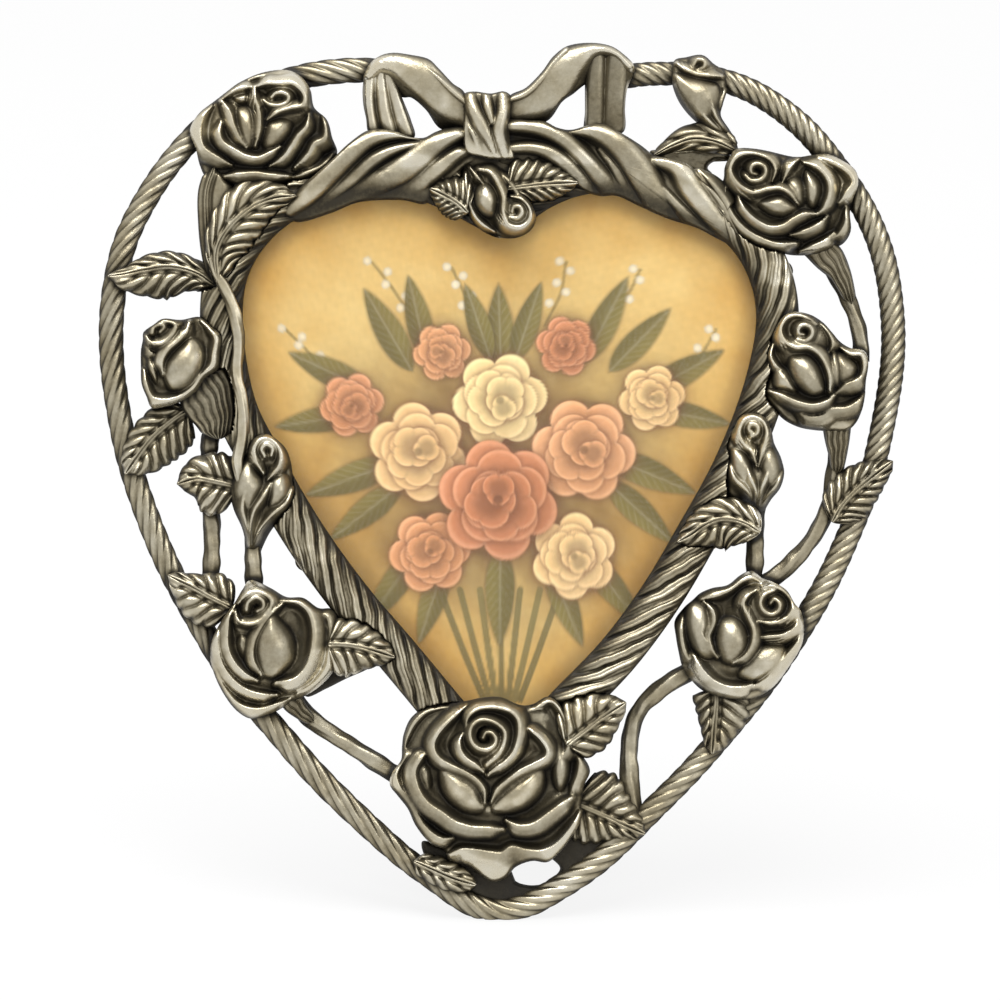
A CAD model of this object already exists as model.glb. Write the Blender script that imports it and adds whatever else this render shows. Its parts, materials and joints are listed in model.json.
import json
from math import cos, pi, radians, sin

import bpy
import numpy as np
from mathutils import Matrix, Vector


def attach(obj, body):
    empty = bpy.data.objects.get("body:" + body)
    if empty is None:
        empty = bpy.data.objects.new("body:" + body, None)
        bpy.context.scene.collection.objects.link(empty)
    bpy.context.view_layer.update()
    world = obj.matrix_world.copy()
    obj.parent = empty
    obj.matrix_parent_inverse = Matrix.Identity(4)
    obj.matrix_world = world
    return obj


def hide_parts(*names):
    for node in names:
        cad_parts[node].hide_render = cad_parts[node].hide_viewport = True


# Heart shaped photo frame. Outlines and lines are in thousandths of the layout square, x to the
# right and y downwards, written as "x,y x,y ..."; heights are in millimetres above the flat back
# of the casting. stand() turns both into the frame's own metres.
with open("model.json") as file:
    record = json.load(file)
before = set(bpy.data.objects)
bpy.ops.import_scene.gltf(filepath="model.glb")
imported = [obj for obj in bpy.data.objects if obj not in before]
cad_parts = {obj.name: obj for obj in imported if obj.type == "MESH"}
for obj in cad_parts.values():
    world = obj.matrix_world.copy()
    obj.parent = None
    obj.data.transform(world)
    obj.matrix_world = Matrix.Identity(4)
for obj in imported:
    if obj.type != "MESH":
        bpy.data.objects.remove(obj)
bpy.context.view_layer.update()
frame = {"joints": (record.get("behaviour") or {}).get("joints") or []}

UNIT = 0.098                    # millimetres in a thousandth of the layout square
TIP = (492.0, 924.0)            # tip of the heart
LEAN = radians(15.0)
HINGE_FLAT = (0.0, 52.0, -1.5)  # hinge on the casting lying flat, in millimetres from the tip
SPACING = 1.2                   # between the points of most lines
GRID = 1000                     # squares along a side of the layout
BARE = -9.0                     # height of a square with nothing over it
BLOCK = 8000                    # places worked out at a time


# Places and lines

def turn_up(flat):
    """Millimetres lying flat to metres leaning back: x stays, y and z turn by the lean."""
    x, y, z = flat[..., 0], flat[..., 1], flat[..., 2]
    return np.stack([x, y * sin(LEAN) - z * cos(LEAN), y * cos(LEAN) + z * sin(LEAN)], -1) / 1000


hinge_joint = next(j for j in frame["joints"] if j["name"] == "easel_hinge")
SHIFT = np.array(hinge_joint["pos_m"]) - turn_up(np.array(HINGE_FLAT))


def stand(shares):
    """Shares and a height to metres: scaled from the tip, turned up and moved to the floor."""
    x, y, z = shares[..., 0], shares[..., 1], shares[..., 2]
    return turn_up(np.stack([(x - TIP[0]) * UNIT, (TIP[1] - y) * UNIT, z], -1)) + SHIFT


def points_of(text):
    """Points as they are written in the tables below, one row each."""
    return np.array([[float(v) for v in point.split(",")] for point in text.split()])


def walk(line):
    """How far along a line each of its points is."""
    steps = np.linalg.norm(np.diff(line[:, :2], axis=0), axis=1)
    return np.concatenate([[0], np.cumsum(steps)])


def smooth_line(points, spacing, closed=False):
    """Catmull-Rom curve through the points, walked at an even spacing."""
    p = points_of(points) if isinstance(points, str) else np.asarray(points, float)
    if closed:
        before, after, start, end = np.roll(p, 1, 0), np.roll(p, -2, 0), p, np.roll(p, -1, 0)
    else:
        start, end = p[:-1], p[1:]
        before = np.vstack([2 * p[0] - p[1], p[:-2]])
        after = np.vstack([p[2:], 2 * p[-1] - p[-2]])
    t = np.linspace(0, 1, 24, endpoint=False)[None, :, None]
    m0, m1 = ((end - before) / 2)[:, None], ((after - start) / 2)[:, None]
    a, b = start[:, None], end[:, None]
    curve = ((2 * t ** 3 - 3 * t ** 2 + 1) * a + (t ** 3 - 2 * t ** 2 + t) * m0
             + (3 * t ** 2 - 2 * t ** 3) * b + (t ** 3 - t ** 2) * m1)
    curve = curve.reshape(-1, p.shape[1])
    curve = np.vstack([curve, p[:1] if closed else p[-1:]])
    walked = walk(curve)
    count = max(int(round(walked[-1] / spacing)), 3)
    even = np.linspace(0, walked[-1], count + 1)
    line = np.stack([np.interp(even, walked, column) for column in curve.T], 1)
    return line[:-1] if closed else line


def normals_of(line, closed=False):
    """Unit normals of a flat line, a quarter turn to the left of its course."""
    if closed:
        along = np.roll(line, -1, 0) - np.roll(line, 1, 0)
    else:
        along = np.gradient(line, axis=0)
    along = along[:, :2] / np.maximum(np.linalg.norm(along[:, :2], axis=1, keepdims=True), 1e-9)
    return np.stack([along[:, 1], -along[:, 0]], 1)


def normals_out(line, reach):
    """Unit normals that point out of a closed line, evened out over the points around: each is
    averaged twelve times with those a few points before and after it."""
    out = normals_of(line, True)
    after = np.roll(line, -1, 0)
    area = (line[:, 0] * after[:, 1] - after[:, 0] * line[:, 1]).sum()
    out = out if area > 0 else -out
    for _ in range(12):
        out = (np.roll(out, reach, 0) + 2 * out + np.roll(out, -reach, 0)) / 4
    return out / np.linalg.norm(out, axis=1, keepdims=True)


def nearest(p, line):
    """For each place its distance to the line, the nearest point and how far along it is."""
    away, index = np.empty(len(p)), np.empty(len(p), int)
    for low in range(0, len(p), BLOCK):
        gap = ((p[low:low + BLOCK, None] - line[None, :, :2]) ** 2).sum(-1)
        index[low:low + BLOCK] = gap.argmin(1)
        away[low:low + BLOCK] = np.sqrt(gap.min(1))
    return away, line[index], index / max(len(line) - 1, 1)


def wobble(p, scale, seed):
    """Smooth noise between about -1 and 1: sums of sines along seeded directions."""
    draw = np.random.default_rng(seed)
    total, size, weight = np.zeros(len(p)), scale, 1.0
    for _ in range(3):
        for _ in range(5):
            angle, phase = draw.uniform(0, 2 * pi), draw.uniform(0, 2 * pi)
            length = size * draw.uniform(0.7, 1.4)
            along = p[:, 0] * cos(angle) + p[:, 1] * sin(angle)
            total += weight * np.sin(along * 2 * pi / length + phase)
        size, weight = size / 2, weight / 2
    return total / 5


def ramp(value, low, high):
    """Smooth step from 0 at low to 1 at high."""
    t = np.clip((value - low) / (high - low), 0, 1)
    return t * t * (3 - 2 * t)


def soft_top(stack, softness):
    """Highest of the layers, blended where two come within about the softness of each other."""
    top = stack.max(0)
    return top + softness * np.log(np.exp((stack - top) / softness).sum(0))


def rounded_rim(rim, width, drop):
    """How much the height falls near an outline: a quarter circle."""
    t = np.clip(rim / width, 0, 1)
    return drop * (1 - np.sqrt(1 - (1 - t) ** 2))


# Relief: how high the casting stands over a place

# Kinds of petal lip: width and drop on the inner side, width and drop on the outer side, how
# fast the skirt beyond falls, and how wide it stays before it is undercut, by how much
LIPS = {
    "swirl": (4.2, 0.95, 4.2, 0.95, 0.12, 9.0, 0.0),
    "lip": (4.2, 1.40, 5.6, 0.80, 0.060, 9.0, 1.2),
    "petal": (4.8, 1.50, 8.0, 0.90, 0.050, 12.5, 1.4),
    "broad": (5.5, 1.30, 10.5, 0.95, 0.045, 36.0, 1.4),
}


def lip_height(p, center, kind, height, points):
    """A rounded crest along a line: it falls as a bell on both sides, steeply towards the
    middle of the flower and gently outwards, where it ends in a step down; it is broadest
    halfway and thins towards its ends. Also how far each place is from it."""
    w_in, g_in, w_out, g_out, slope, band, under = LIPS[kind]
    line = smooth_line(points, SPACING)
    away, at, along = nearest(p, line)
    to_center, to_place = center - at, p - at
    side = (to_center * to_place).sum(1) / np.maximum(
        np.linalg.norm(to_center, axis=1) * np.linalg.norm(to_place, axis=1), 1e-6)
    inner = ramp(side, -0.35, 0.35)
    tail = ramp(np.minimum(along, 1 - along) * len(line) * SPACING, -3, 14)
    thin = 1.0 if kind == "swirl" else 0.45 + 0.40 * tail + 0.25 * np.sin(pi * along)
    bell_in = (g_in * (1 - np.exp(-(away / (w_in * thin)) ** 2))
               + 0.08 * np.maximum(away - 2 * w_in, 0))
    bell_out = (g_out * (1 - np.exp(-(away / (w_out * thin)) ** 2))
                + slope * np.maximum(away - w_out, 0)
                + under * ramp(away, band * thin - 3, band * thin + 3))
    return height - 0.5 * (1 - tail) - inner * bell_in - (1 - inner) * bell_out, away


def belly_height(p, height, points):
    """A rounded swelling inside an outline, by the share of the way from its middle to its
    outline: half ball, half bowl, and a steep fall outside."""
    line = smooth_line(points, SPACING, True)
    center = line.mean(0)
    line, gap = line - center, p - center
    away = np.hypot(gap[:, 0], gap[:, 1])
    edge = np.interp(np.arctan2(gap[:, 1], gap[:, 0]), np.arctan2(line[:, 1], line[:, 0]),
                     np.hypot(line[:, 0], line[:, 1]), period=2 * pi)
    t = np.clip(away / edge, 0, 1)
    return (height - 1.6 * (0.6 * (1 - np.sqrt(1 - t ** 2)) + 0.4 * t ** 2)
            - 0.35 * np.maximum(away - edge, 0))


def relief(p, center, low, lips, bellies):
    """Lips and bellies over a floor that lies a little below the lips nearby, highest at each
    place, blended where they meet."""
    layers, level, weight = [], 0.02 * low, 0.02
    for kind, height, points in lips:
        crest, away = lip_height(p, center, kind, height, points)
        layers.append(crest)
        close = np.exp(-away / 6)
        level, weight = level + close * height, weight + close
    layers.append(level / weight - 1.6)
    layers += [belly_height(p, height, points) for height, points in bellies]
    return soft_top(np.stack(layers), 0.07)


# Skins: rows of rings that make closed bodies

# Shade of a point: 0 worn metal, less than 0 worn brighter, and these two
WALL, WEB = 1, 2


class Skin:
    """A closed body of the casting: rings of points, in shares and millimetres, with a pole at
    each end, or joined end to end."""

    def __init__(self, name, rings, shade=None, joined=False):
        self.name = name
        n, m = rings.shape[:2]
        self.points = rings.reshape(-1, 3)
        self.shade = np.zeros(n * m) if shade is None else shade.reshape(-1)
        row = np.arange(n if joined else n - 1)[:, None]
        column = np.arange(m)[None]
        after, beside = (row + 1) % n, (column + 1) % m
        corners = [row * m + column, row * m + beside, after * m + beside, after * m + column]
        self.quads = np.stack(corners, -1).reshape(-1, 4)
        self.triangles = np.zeros((0, 3), int)
        if not joined:
            self.points = np.vstack([self.points, rings[0].mean(0), rings[-1].mean(0)])
            ends = [self.shade[:m].mean(), self.shade[-m:].mean()]
            self.shade = np.concatenate([self.shade, ends])
            c, last = np.arange(m), (n - 1) * m
            first_pole, last_pole = np.full(m, n * m), np.full(m, n * m + 1)
            self.triangles = np.vstack([
                np.stack([(c + 1) % m, c, first_pole], 1),
                np.stack([last + c, last + (c + 1) % m, last_pole], 1)])

    def join(self, other):
        """Takes in another body, which stays apart from this one."""
        count = len(self.points)
        self.quads = np.vstack([self.quads, other.quads + count])
        self.triangles = np.vstack([self.triangles, other.triangles + count])
        self.points = np.vstack([self.points, other.points])
        self.shade = np.concatenate([self.shade, other.shade])


def give(piece, key, column):
    """Gives every point of a piece a value, or a colour."""
    if column.ndim == 1:
        data, kind, field = column, "FLOAT", "value"
    else:
        data = np.column_stack([column, np.ones(len(column))])
        kind, field = "FLOAT_COLOR", "color"
    attribute = piece.data.attributes.new(key, kind, "POINT")
    attribute.data.foreach_set(field, data.ravel().astype(np.float32))


def put_mesh(name, points, quads, triangles):
    """Mesh object of the points in metres, with its faces turned outwards, on the frame body."""
    a, b, c, d = (points[quads[:, k]] for k in range(4))
    volume = (np.cross(a, b) * c).sum() + (np.cross(a, c) * d).sum()
    t = points[triangles]
    volume += (np.cross(t[:, 0], t[:, 1]) * t[:, 2]).sum()
    if volume < 0:
        quads, triangles = quads[:, ::-1], triangles[:, ::-1]
    mesh = bpy.data.meshes.new(name)
    loops = np.concatenate([quads.ravel(), triangles.ravel()])
    totals = np.concatenate([np.full(len(quads), 4), np.full(len(triangles), 3)])
    mesh.vertices.add(len(points))
    mesh.vertices.foreach_set("co", points.ravel())
    mesh.loops.add(len(loops))
    mesh.loops.foreach_set("vertex_index", loops)
    mesh.polygons.add(len(totals))
    mesh.polygons.foreach_set("loop_start", np.concatenate([[0], np.cumsum(totals)[:-1]]))
    mesh.polygons.foreach_set("loop_total", totals)
    mesh.update(calc_edges=True)
    mesh.validate()
    mesh.shade_smooth()
    piece = bpy.data.objects.new(name, mesh)
    bpy.context.scene.collection.objects.link(piece)
    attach(piece, "frame")
    return piece


def disc(name, outline, center, height_at, back):
    """Body over an outline: rings shrink from the outline to the middle point, and each place
    stands as high as the relief says; a wall and a flat back close it."""
    step = 1.3
    edge = smooth_line(outline, step, True)
    center = np.asarray(center, float)
    reach = np.linalg.norm(edge - center, axis=1).mean()
    count = max(int(reach / step), 12)
    share = (np.arange(1, count + 1) / count)[:, None, None]
    flat = center + (edge - center)[None] * share
    p = flat.reshape(-1, 2)
    rim, _, _ = nearest(p, smooth_line(outline, 1.0, True))
    z = height_at(p, rim).reshape(flat.shape[:2])
    top = np.dstack([flat, np.maximum(z, back + 0.3)])
    wall = []
    for share in (0.25, 0.6, 1.0):
        ring = top[-1].copy()
        ring[:, 2] = ring[:, 2] * (1 - share) + back * share
        wall.append(ring)
    inner = wall[-1].copy()
    inner[:, :2] = center + (edge - center) * 0.5
    inner[:, 2] = back
    rings = np.concatenate([top, np.stack(wall + [inner])])
    shade = np.zeros(rings.shape[:2])
    shade[len(top):] = WALL
    return Skin(name, rings, shade)


# Roses and buds: middle, height, level of the back, outline, lips and bellies. A lip has its
# kind, its height as a share of the flower's, and its line; a belly has a height share and an
# outline. A bud's tail is the place it sinks towards, from how far, and by how much.
FLOWERS = {
    "rose_bottom": dict(
        center=(487, 740), height=8.0, back=0.06,
        outline="466,701 480,698 500,697 520,705 533,704 546,697 556,700 564,712 571,730 574,748 "
                "584,758 590,771 584,786 582,801 582,816 575,832 562,850 548,862 532,861 516,867 "
                "506,878 493,882 481,876 467,866 450,862 444,850 430,843 416,826 408,809 398,796 "
                "390,785 392,773 401,760 402,746 404,733 411,718 426,707 446,703",
        lips=[
            ("swirl", 0.99, "483,737 486,732 492,732 496,738 494,745 487,749 478,747 472,741 "
                "470,732 473,724 481,719 491,720 500,725 505,732 504,742 500,751 494,758 487,764"),
            ("lip", 0.955, "466,727 469,716 478,709 489,707 501,708 512,712 518,720 519,731 "
                "517,742 513,752 505,761 495,768 488,774"),
            ("lip", 0.94, "463,733 460,741 461,750 467,758 476,764 484,771"),
            ("lip", 0.875, "467,705 457,714 448,722 439,732 434,742 435,751 441,759 452,765 "
                "465,771 476,778 484,788 485,802"),
            ("lip", 0.87, "522,724 532,731 541,739 547,749 545,757 534,763 520,770 508,779 "
                "497,789 491,801"),
            ("petal", 0.76, "430,749 420,760 415,771 417,784 422,795 430,804 442,812 455,821 "
                "470,826 486,827 503,828"),
            ("petal", 0.73, "506,819 519,825 534,823 549,813 562,803 571,797"),
            ("petal", 0.62, "572,747 579,758 579,771 574,785 569,797"),
            ("petal", 0.66, "502,702 519,711 532,710 543,703 552,701 560,708 566,721 569,735 "
                "567,749 559,759 551,767"),
            ("petal", 0.6, "462,706 442,708 427,712 416,722 408,736 405,747"),
            ("petal", 0.61, "418,750 408,755 400,764 396,775 400,787 408,797 415,809 422,822 "
                "431,832 442,838 453,837"),
            ("broad", 0.55, "450,854 463,849 478,850 490,852 501,853 512,847 526,850 541,851 "
                "555,845 566,834 576,820 580,811")],
        bellies=[
            (0.84, "439,768 452,767 466,773 479,782 485,795 485,810 470,813 454,805 443,791"),
            (0.84, "541,766 544,780 538,796 524,808 506,813 492,811 492,800 503,787 520,775"),
            (0.7, "556,740 566,748 570,762 568,780 560,792 552,780 550,760"),
            (0.66, "414,762 424,757 432,765 434,780 431,795 424,792 417,780")]),
    "rose_lower_left": dict(
        center=(262, 640), height=6.8, back=0.06,
        outline="251,580 270,588 286,597 303,598 318,608 331,609 338,619 337,640 338,657 333,672 "
                "320,686 305,696 290,703 275,712 253,719 238,712 225,696 215,676 210,656 213,638 "
                "222,620 234,604 243,589",
        lips=[
            ("swirl", 0.97, "258,611 264,607 263,600 256,597 249,602 247,610"),
            ("lip", 0.96, "236,612 240,621 250,624 261,621 269,612 272,602 268,596 257,592 "
                "246,596 239,603"),
            ("lip", 0.95, "282,604 271,614 261,628 254,644 254,660 262,674"),
            ("petal", 0.9, "280,601 297,602 309,612 314,630 312,652 306,668 294,679 276,682"),
            ("petal", 0.76, "316,612 327,617 330,632 329,650 326,668 314,683 298,692"),
            ("lip", 0.86, "236,604 230,615 228,630 228,646 234,661 245,673 258,680"),
            ("lip", 0.76, "219,624 218,642 222,662 232,678 246,689 262,694 277,694"),
            ("lip", 0.64, "213,648 216,670 226,690 239,704 256,709 274,705 290,698"),
            ("lip", 0.8, "222,624 230,608 239,596 248,587 258,587 271,594 282,600")],
        bellies=[
            (1.0, "271,608 282,622 292,638 294,655 287,668 275,677 262,674 255,662 253,645 "
                "256,630 263,617"),
            (0.8, "240,626 250,630 249,648 250,664 241,660 235,644")]),
    "rose_lower_right": dict(
        center=(748, 636), height=6.8, back=0.06,
        outline="701,593 713,588 728,585 741,575 752,571 762,578 773,582 786,590 794,603 801,612 "
                "804,628 801,646 790,665 776,684 762,695 745,700 725,698 705,692 692,681 683,668 "
                "679,653 676,636 675,621 684,608 693,600",
        lips=[
            ("swirl", 0.98, "770,603 774,599 779,603 778,610 771,614 763,610 760,602 764,594 "
                "773,590"),
            ("lip", 0.95, "762,588 774,586 786,592 793,602 790,613 782,620 770,623 757,621"),
            ("lip", 0.94, "756,590 747,596 743,605 748,617 753,630 752,643 745,655 733,662"),
            ("lip", 0.88, "756,637 770,636 784,634 795,626 797,614"),
            ("petal", 0.78, "702,599 718,595 731,589 742,581 752,578 761,583"),
            ("lip", 0.8, "704,602 713,611 714,623 709,636 712,648 718,657"),
            ("petal", 0.78, "694,655 702,669 713,680 726,686 740,687 752,684"),
            ("petal", 0.76, "753,686 766,679 776,667 787,655 797,642 801,630"),
            ("petal", 0.66, "683,618 682,634 685,650 691,662")],
        bellies=[
            (0.96, "720,622 733,617 744,624 750,640 747,656 735,664 723,660 716,642"),
            (0.86, "752,648 770,641 785,646 784,662 770,675 752,681 738,676 742,662"),
            (0.84, "690,604 704,604 711,620 709,638 715,656 703,658 692,646 686,624")]),
    "rose_top_left": dict(
        center=(266, 128), height=6.6, back=0.06,
        outline="285,70 262,73 241,82 227,92 212,103 198,115 190,131 196,149 200,166 208,179 "
                "230,186 252,189 283,183 310,178 330,166 337,152 332,137 327,120 314,107 310,89 "
                "300,76",
        lips=[
            ("swirl", 0.95, "272,98 276,94 283,93 289,97 287,103 279,106 270,105 264,101"),
            ("lip", 0.95, "258,87 268,84 281,84 293,84 301,90 305,98 302,106 290,109 278,113 "
                "267,121"),
            ("lip", 0.96, "255,88 256,100 260,114 260,130 256,146"),
            ("lip", 0.9, "222,101 230,112 234,125 240,138 247,148"),
            ("lip", 0.84, "222,100 234,91 246,88 256,88"),
            ("petal", 0.7, "226,94 246,80 266,75 284,75 299,79 307,93"),
            ("lip", 0.88, "222,122 220,134 224,143 235,150 246,156 258,158 270,153 280,147"),
            ("lip", 0.82, "309,114 306,127 298,136 291,147 283,158 270,166"),
            ("petal", 0.74, "322,114 326,127 324,138 314,144 308,155 295,167"),
            ("petal", 0.76, "212,107 203,118 200,132 203,146 212,154 232,165"),
            ("petal", 0.78, "226,176 240,174 256,173 270,175 288,176"),
            ("petal", 0.66, "292,178 308,172 322,166 333,154")],
        bellies=[
            (0.92, "238,108 252,108 258,124 257,142 249,151 241,142 236,124"),
            (0.9, "266,120 280,115 292,120 291,133 281,145 267,152 260,140"),
            (0.78, "230,96 250,92 252,104 238,106")]),
    "rose_top_right": dict(
        center=(778, 200), height=6.6, back=0.06,
        outline="737,149 753,149 771,152 795,157 812,155 827,154 841,160 855,170 858,184 853,199 "
                "850,213 851,230 845,242 834,248 815,254 795,255 778,252 760,248 742,238 728,222 "
                "720,205 719,191 724,178 725,167 730,156",
        lips=[
            ("swirl", 0.98, "756,175 751,173 751,167 757,164 764,167 765,174 760,180 751,181 "
                "745,176"),
            ("lip", 0.95, "772,182 775,171 770,161 758,155 745,154 735,159 730,170 735,181 "
                "744,189 755,193 767,190 779,189 789,194 797,204"),
            ("lip", 0.92, "797,160 788,170 782,183"),
            ("lip", 0.86, "738,196 744,209 755,220 769,227 782,226 793,219 804,214 816,214"),
            ("petal", 0.76, "726,184 726,200 733,216 746,230 762,239 778,244 795,243"),
            ("lip", 0.84, "803,163 817,168 827,179 829,193 824,207 817,214"),
            ("lip", 0.74, "790,235 804,231 817,225 827,216"),
            ("petal", 0.6, "800,251 813,246 824,241 833,233"),
            ("petal", 0.72, "818,158 832,163 846,171 853,182 846,193 838,203"),
            ("petal", 0.58, "845,206 846,220 841,231 833,238")],
        bellies=[
            (0.9, "756,203 768,195 783,193 795,201 798,211 784,218 768,214"),
            (0.88, "784,176 797,176 805,188 804,204 797,208 787,194"),
            (0.84, "804,170 815,174 822,186 820,202 811,210 803,196")]),
    "rose_left": dict(
        center=(177, 356), height=7.0, back=0.06,
        outline="164,319 181,320 200,317 212,327 222,336 221,352 219,368 206,378 196,392 180,402 "
                "164,407 152,408 147,397 142,384 141,368 141,351 143,340 144,332 154,325",
        lips=[
            ("swirl", 0.94, "161,332 165,327 160,324 154,327 153,333"),
            ("lip", 0.93, "147,337 153,343 162,344 170,339 176,330 174,323 163,321 152,325"),
            ("lip", 0.96, "190,323 186,333 179,341 169,350 163,361 164,374"),
            ("petal", 0.82, "202,322 210,329 216,339 214,353 211,366 200,377 191,389 179,397 "
                "165,400 153,397 147,385 145,370"),
            ("lip", 0.8, "146,346 152,353 161,357")],
        bellies=[
            (1.0, "170,356 180,345 191,338 201,345 204,360 198,377 186,388 172,389 164,377 "
                "164,365"),
            (0.8, "148,356 157,360 160,374 158,386 151,380 147,368")]),
    "rose_right": dict(
        center=(814, 368), height=7.0, back=0.06,
        outline="777,325 785,315 795,312 810,315 822,322 832,333 839,341 850,348 864,351 868,363 "
                "866,380 865,395 862,410 856,423 846,431 830,431 814,430 799,427 785,420 774,409 "
                "765,397 766,385 770,371 767,356 770,342",
        lips=[
            ("swirl", 0.98, "803,335 798,333 799,327 805,325 811,329 811,336 805,341 797,340"),
            ("lip", 0.95, "816,325 806,318 794,315 784,320 780,331 785,342 796,348 808,348 "
                "818,354 825,365 829,378 829,390"),
            ("lip", 0.84, "818,322 828,332 832,344 828,354"),
            ("lip", 0.8, "773,345 770,356 775,365 784,371"),
            ("lip", 0.82, "770,391 783,396 797,402 812,405 825,402 834,395"),
            ("petal", 0.76, "835,393 845,385 855,381 864,374"),
            ("petal", 0.68, "796,411 809,417 822,416 832,409 846,408 857,402 864,394"),
            ("petal", 0.74, "838,346 849,354 861,355 864,368 858,380")],
        bellies=[
            (0.98, "789,358 799,353 810,356 819,366 824,379 823,391 812,395 800,388 791,376"),
            (0.9, "832,350 839,358 842,372 838,386 831,384 828,368"),
            (0.82, "774,366 786,368 795,380 797,394 784,393 773,386"),
            (0.84, "836,352 849,358 857,368 852,380 840,384 834,370")]),
    "bud_top_center": dict(
        center=(499, 204), height=6.3, back=0.6,
        outline="463,160 468,149 484,147 502,150 512,164 522,190 531,204 536,218 530,231 515,238 "
                "497,237 481,230 470,217 464,200 461,180",
        lips=[
            ("swirl", 0.97, "512,212 514,207 520,207 522,213 518,218 511,218"),
            ("lip", 0.95, "479,170 490,173 498,184 503,197 503,212 508,224 520,227 529,220 "
                "530,209 522,200 511,197"),
            ("lip", 0.86, "500,173 510,184 518,195 528,204"),
            ("lip", 0.8, "466,174 467,191 471,208 480,222 494,231"),
            ("lip", 0.78, "470,168 480,180 486,186")],
        bellies=[
            (0.97, "477,190 486,183 495,190 499,203 494,216 483,215 475,204")]),
    "bud_top_right": dict(
        center=(698, 88), height=5.2, back=0.6, tail=(740, 146, 44, 2.0),
        outline="674,61 686,57 702,55 713,63 724,72 727,89 723,104 721,116 730,130 738,143 "
                "728,143 713,134 699,124 686,111 677,97 672,80",
        lips=[
            ("swirl", 0.94, "693,66 697,60 704,61 704,67 698,70"),
            ("lip", 0.9, "677,64 686,70 698,75 712,76 721,77"),
            ("swirl", 0.92, "732,137 721,124 713,110 711,94"),
            ("swirl", 0.9, "728,137 712,124 698,109 690,94"),
            ("swirl", 0.8, "733,138 724,122 722,108 725,92")],
        bellies=[
            (1.0, "675,74 690,76 705,79 717,86 720,100 714,116 702,121 688,111 678,97 673,84")]),
    "bud_left": dict(
        center=(264, 486), height=6.3, back=0.6, tail=(253, 566, 60, 3.6),
        outline="256,437 266,434 276,439 286,449 291,463 293,477 295,491 291,505 281,518 270,532 "
                "262,548 257,562 250,562 246,546 242,528 234,510 230,492 233,478 239,467 246,455 "
                "250,445",
        lips=[
            ("swirl", 0.98, "265,456 262,449 267,444 273,448 272,455"),
            ("lip", 0.96, "264,474 257,462 255,449 261,440 271,439 279,447 281,459 277,470 "
                "268,480"),
            ("swirl", 0.94, "249,480 245,494 243,508 246,522 250,540"),
            ("swirl", 0.96, "271,484 264,496 255,510 251,526 250,544"),
            ("swirl", 0.9, "293,490 286,503 272,515 260,530 253,546")],
        bellies=[
            (0.95, "240,466 250,460 259,472 265,486 260,502 250,516 240,508 234,490"),
            (0.95, "270,478 282,470 290,480 290,495 279,508 268,506")]),
    "bud_right": dict(
        center=(755, 464), height=6.3, back=0.6, tail=(757, 524, 46, 3.2),
        outline="741,416 753,413 765,418 771,430 774,443 781,458 784,473 780,488 771,500 764,512 "
                "757,520 748,513 736,505 727,491 727,472 729,458 727,445 733,430",
        lips=[
            ("swirl", 0.98, "752,432 748,429 751,424 757,426 757,433 751,436"),
            ("lip", 0.96, "756,466 752,453 744,445 739,434 742,423 751,417 761,420 766,429 "
                "765,441 761,454 758,466"),
            ("swirl", 0.9, "729,466 735,479 746,490 756,506"),
            ("swirl", 0.96, "746,466 750,478 755,490 757,506"),
            ("swirl", 0.96, "770,464 766,477 761,490 758,506"),
            ("swirl", 0.88, "783,472 776,485 767,496 759,509")],
        bellies=[
            (0.92, "731,448 742,447 751,458 754,474 750,488 738,484 730,470"),
            (0.94, "762,446 772,445 780,460 781,478 772,490 762,482 758,462")]),
}


def flower(name, shape):
    """Rose or bud: petals over a floor that rises with them from the rim to the middle."""
    height, center = shape["height"], np.array(shape["center"], float)
    lips = [(kind, share * height, points) for kind, share, points in shape["lips"]]
    bellies = [(share * height, points) for share, points in shape["bellies"]]
    low = min(share for _, share, _ in shape["lips"]) * height
    x, y, reach, fall = shape.get("tail", (0, 0, 1, 0))

    def height_at(p, rim):
        z = relief(p, center, low, lips, bellies)
        z = z - fall * ramp(reach - np.hypot(p[:, 0] - x, p[:, 1] - y), 0, reach)
        return z - rounded_rim(rim, 5.0, 1.0) + 0.03 * wobble(p, 26, 3)

    return disc(name, shape["outline"], center, height_at, shape["back"])


cast = [flower(name, shape) for name, shape in FLOWERS.items()]

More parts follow.
